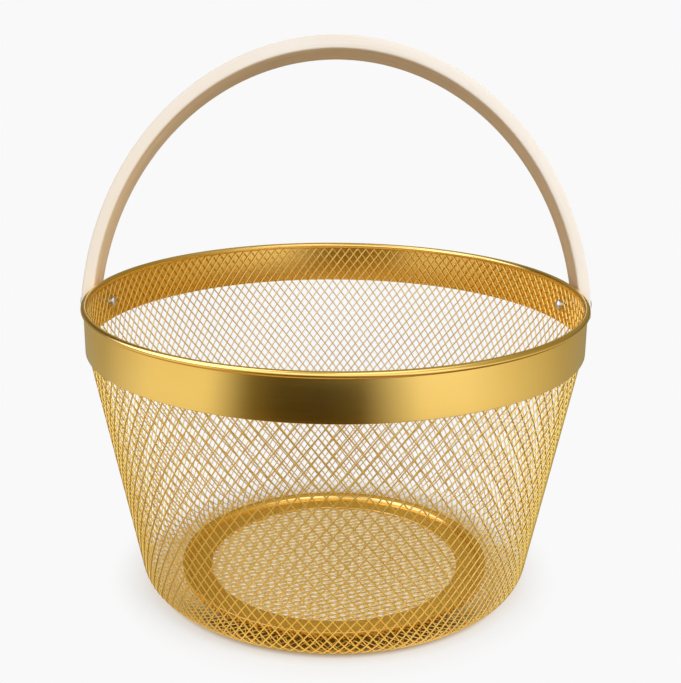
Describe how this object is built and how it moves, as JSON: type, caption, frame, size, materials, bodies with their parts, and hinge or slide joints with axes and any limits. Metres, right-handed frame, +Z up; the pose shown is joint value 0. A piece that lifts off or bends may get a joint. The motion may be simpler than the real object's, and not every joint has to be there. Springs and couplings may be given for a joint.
{
  "type": "mesh basket",
  "caption": "Round tapered metal mesh basket with a sheet rim band, a flat ringed mesh base and a bentwood carrying handle that swings on riveted pivots.",
  "frame": {"origin": "on the basket's vertical axis, on the surface that it stands on", "axes": "+Z up, X along the handle's pivot axis, +Y to the back, the way that the handle leans"},
  "size_m": [0.2794, 0.26, 0.2825],
  "materials": {
    "gold_mesh": "gold-coloured metallic coat on steel mesh, satin gloss",
    "gold_sheet": "gold-coloured metallic coat on sheet steel, brushed gloss",
    "steel": "bright plated steel",
    "spacer": "plain moulded, pale",
    "birch": "pale laminated birch, clear matt lacquer"
  },
  "bodies": {
    "basket": {"mesh_wall": "gold_mesh", "base_mesh": "gold_mesh", "base_ring": "gold_sheet", "rim_band": "gold_sheet", "rim_wire": "steel", "pivot_rivet_right": "steel", "pivot_rivet_left": "steel", "pivot_spacer_right": "spacer", "pivot_spacer_left": "spacer", "pivot_washer_right": "steel", "pivot_washer_left": "steel"},
    "handle": {"handle_arch": "birch"}
  },
  "joints": [
    {"name": "handle_swing", "type": "hinge", "parent": "basket", "child": "handle", "pos_m": [0, 0.03, 0.1415], "axis": [1, 0, 0], "range_deg": [-70, 29]}
  ]
}
